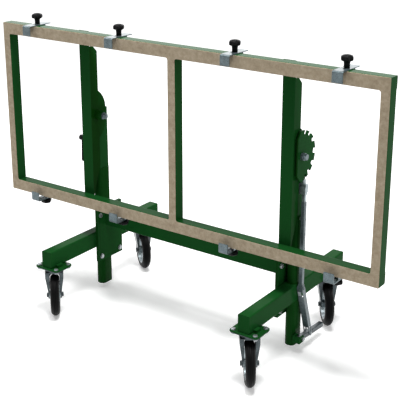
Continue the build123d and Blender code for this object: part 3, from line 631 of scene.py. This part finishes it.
def add_fastener(build, place, flats, stem):
    """A bolt along local Z: head with washer at the top, nut with washer below."""
    head_low, head_high, nut_high, nut_low = stem
    ring = flats * WASHER_R
    bore = flats * WASHER_BORE_R
    for face, way in ((head_low, 1.0), (nut_high, -1.0)):
        back = face + way * WASHER_T
        profile = [(face, bore), (face, ring - WASHER_EDGE_IN), (face + way * WASHER_EDGE_UP, ring),
                   (back, ring), (back, bore)]
        build.add(turned_rings(profile, place, WASHER_SEGMENTS))
    build.add(hex_rings(place, flats, head_low + WASHER_T, head_high), cap=True)
    build.add(hex_rings(place, flats, nut_high - WASHER_T, nut_low + NUT_SHORT), cap=True)
    thread = thread_profile(nut_low + STEM_SHOWN, nut_low, flats * STEM_R)
    build.add(turned_rings(thread, place, THREAD_SEGMENTS))


def add_base_bolts():
    build = Build()
    for box in islands("base_bolts"):
        size = [high - low for low, high in box]
        centre = [(low + high) / 2 for low, high in box]
        if size[2] > size[0]:
            place = axis_matrix((centre[0], centre[1], 0.0), UP)
            low, high = box[2]
            head, nut, flats = CASTER_BOLT
        else:
            place = axis_matrix((0.0, centre[1], centre[2]), (1, 0, 0))
            low, high = box[0]
            head, nut, flats = FLANGE_BOLT
        add_fastener(build, place, flats, (high - head, high, low + nut, low))
    bolts = add_piece("hex_bolts_base", build, "base", "zinc", smooth=False)
    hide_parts("base_bolts")


# Weld beads: scalloped fillets along straight runs, and rings around the sleeves
WELD_R = 0.0028
WELD_PITCH = 0.0045
WELD_STEPS_PER_PITCH = 4
WELD_LEAST_STEPS = 6
WELD_SIDES = 8
WELD_SWELL = 0.20
WELD_UNEVEN = 0.10
WELD_UNEVEN_PER_M = 60.0
WELD_END = 0.45
WELD_INSET = 0.006
WELD_RING_R = 0.0036
WELD_RING_SWELL = 0.1
WELD_RING_STEP = 2.0
STILE_W = 0.037
CHANNEL_HALF = 0.029
CHANNEL_WELD_INSET = 0.004


def weld_run(build, start, end):
    start, end = Vector(start), Vector(end)
    length = (end - start).length
    place = axis_matrix(start, (end - start).normalized())
    count = max(WELD_LEAST_STEPS, int(length / WELD_PITCH * WELD_STEPS_PER_PITCH))
    profile = []
    for k in range(count + 1):
        along = length * k / count
        scallop = abs(math.sin(math.pi * along / WELD_PITCH))
        uneven = mnoise.noise(place @ Vector((0, 0, along)) * WELD_UNEVEN_PER_M)
        swell = (1.0 - WELD_SWELL + WELD_SWELL * scallop) * (1.0 + WELD_UNEVEN * uneven)
        to_end = min(along, length - along) / WELD_R
        taper = min(1.0, WELD_END + (1.0 - WELD_END) * to_end)
        profile.append((along, WELD_R * swell * taper))
    build.add(turned_rings(profile, place, WELD_SIDES), cap=True)


def weld_ring(build, outline, height):
    rings = []
    for k, (x, y) in enumerate(outline):
        before, after = outline[k - 1], outline[(k + 1) % len(outline)]
        out = Vector((after[1] - before[1], before[0] - after[0], 0.0)).normalized()
        swell = 1.0 - WELD_RING_SWELL + WELD_RING_SWELL * math.cos(WELD_RING_STEP * k)
        radius = WELD_RING_R * swell
        ring = []
        for angle in angles(WELD_SIDES):
            side = math.cos(angle) * out + math.sin(angle) * UP
            ring.append(Vector((x, y, height)) + radius * side)
        rings.append(ring)
    build.add(rings, closed=True)


def add_table_welds():
    build = Build()
    top_low, top_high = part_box("top_rail")
    low_low, low_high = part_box("bottom_rail")
    front, back = low_low[1] + WELD_INSET, low_high[1] - WELD_INSET
    for side in (-1.0, 1.0):
        for x in (side * (low_high[0] - STILE_W), side * STILE_W / 2):
            for z in (low_high[2], top_low[2]):
                weld_run(build, (x, front, z), (x, back, z))
    # The left channel's box takes in its boss and lever stud, so its middle is mirrored from the right
    right_low, right_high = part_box("right_tilt_channel")
    middle = (right_low[0] + right_high[0]) / 2
    for side in (-1.0, 1.0):
        for x in (side * middle - CHANNEL_HALF, side * middle + CHANNEL_HALF):
            for rail_low, rail_high in ((low_low, low_high), (top_low, top_high)):
                weld_run(build, (x, right_low[1], rail_low[2] + CHANNEL_WELD_INSET),
                         (x, right_low[1], rail_high[2] - CHANNEL_WELD_INSET))
    add_piece("table_welds", build, "table", "green_paint")


def add_base_welds():
    build = Build()
    for side in ("left", "right"):
        foot_low, foot_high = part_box(side + "_foot")
        low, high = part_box(side + "_post_sleeve")
        for z in (foot_high[2], foot_low[2]):
            weld_ring(build, oval(low, high, 0.0), z)
    low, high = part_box("crossbeam")
    front, back = low[1], high[1]
    foot, top = low[2] + WELD_INSET, high[2] - WELD_INSET
    for x in (low[0], high[0]):
        weld_run(build, (x, front, foot), (x, front, top))
        weld_run(build, (x, front + WELD_INSET, high[2]), (x, back - WELD_INSET, high[2]))
        weld_run(build, (x, back, foot), (x, back, top))
    add_piece("base_welds", build, "base", "green_paint")


# Threads on the studs that show between the bottom rail and the lower clamp strips
STUD_THREAD_R = 0.00545
STRIP_T = 0.004
THREAD_GAP = 0.0005


def add_threads():
    build = Build()
    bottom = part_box("bottom_rail")[0][2]
    for number in range(1, CLAMPS_PER_RAIL + 1):
        strip_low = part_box("clamp_low_%d" % number)[0]
        knob_low, knob_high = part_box("knob_low_%d" % number)
        x, y = [(knob_low[k] + knob_high[k]) / 2 for k in range(2)]
        end = strip_low[2] + STRIP_T + THREAD_GAP
        thread = thread_profile(bottom, end, STUD_THREAD_R)
        build.add(turned_rings(thread, axis_matrix((x, y, 0.0), UP), THREAD_SEGMENTS))
    add_piece("stud_threads", build, "table", "zinc")


def add_camera():
    felt_low, felt_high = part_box("felt_facing")
    origin = Vector((0.0, felt_low[1], felt_high[2]))
    data = bpy.data.cameras.new("camera")
    data.sensor_width = SENSOR_MM
    data.lens = LENS_PIXELS / IMAGE_PIXELS * SENSOR_MM
    data.shift_y = (CENTRE_ROW - IMAGE_PIXELS / 2) / IMAGE_PIXELS
    data.clip_end = CLIP_END
    camera = show("camera", data)
    camera.location = origin + Vector(VIEW_FROM)
    camera.rotation_euler = (math.pi / 2 - VIEW_PITCH, 0.0, VIEW_YAW)
    bpy.context.scene.camera = camera


def add_math(tree, operation, first, second):
    node = tree.nodes.new("ShaderNodeMath")
    node.operation = operation
    tree.links.new(first, node.inputs[0])
    tree.links.new(second, node.inputs[1])
    return node.outputs[0]


def add_range(tree, value, limits):
    node = tree.nodes.new("ShaderNodeMapRange")
    for socket, limit in limits.items():
        node.inputs[socket].default_value = limit
    tree.links.new(value, node.inputs["Value"])
    return node.outputs["Result"]


def shown_ray(tree):
    """1 for camera, glossy and transmission rays, 0 for the rays that light the object."""
    path = tree.nodes.new("ShaderNodeLightPath").outputs
    seen = add_math(tree, "MAXIMUM", path["Is Camera Ray"], path["Is Glossy Ray"])
    return add_math(tree, "MAXIMUM", seen, path["Is Transmission Ray"])


def floor_material():
    floor = Surface("floor")
    tree = floor.tree
    floor.feed("Base Color", floor.levels(floor.noise(scale=2.0), (0.2, FLOOR_DULL), (0.8, FLOOR)))
    floor.set("Roughness", 0.9)
    floor.set("Specular IOR Level", 0.1)
    floor.set("Emission Color", WHITE)
    reach = tree.nodes.new("ShaderNodeVectorMath")
    reach.operation = "LENGTH"
    tree.links.new(floor.coords, reach.inputs[0])
    spread = add_range(tree, reach.outputs["Value"], {
        "From Min": GLOW_FROM, "From Max": GLOW_TO,
        "To Min": FLOOR_GLOW_NEAR, "To Max": FLOOR_GLOW_FAR})
    floor.feed("Emission Strength", add_math(tree, "MULTIPLY", shown_ray(tree), spread))
    return floor.material


def add_floor():
    mesh = bpy.data.meshes.new("floor")
    signs = ((-1, -1), (1, -1), (1, 1), (-1, 1))
    corners = [(x * FLOOR_HALF, y * FLOOR_HALF, 0.0) for x, y in signs]
    mesh.from_pydata(corners, [], [(0, 1, 2, 3)])
    mesh.materials.append(floor_material())
    floor = show("floor", mesh)


def add_area(name, place, width, height, power):
    data = bpy.data.lights.new(name, "AREA")
    data.shape = "RECTANGLE"
    data.size = width
    data.size_y = height
    data.energy = power
    light = show(name, data)
    light.location = place
    light.rotation_euler = (LAMP_TARGET - Vector(place)).to_track_quat("-Z", "Y").to_euler()


def add_world():
    world = bpy.data.worlds.new("studio")
    bpy.context.scene.world = world
    world.use_nodes = True
    tree = world.node_tree
    background = tree.nodes["Background"].inputs
    background["Color"].default_value = WHITE
    level = add_range(tree, shown_ray(tree), {"To Min": AMBIENT, "To Max": 1.0})
    tree.links.new(level, background["Strength"])


paint_nodes()
add_felt()
add_tyres()
add_aprons()
add_knobs()
add_sleeves()
add_base_bolts()
add_table_welds()
add_base_welds()
add_threads()
add_camera()
add_floor()
for lamp, settings in LAMPS.items():
    add_area(lamp, *settings)
add_world()
bpy.context.scene.view_settings.view_transform = "Standard"
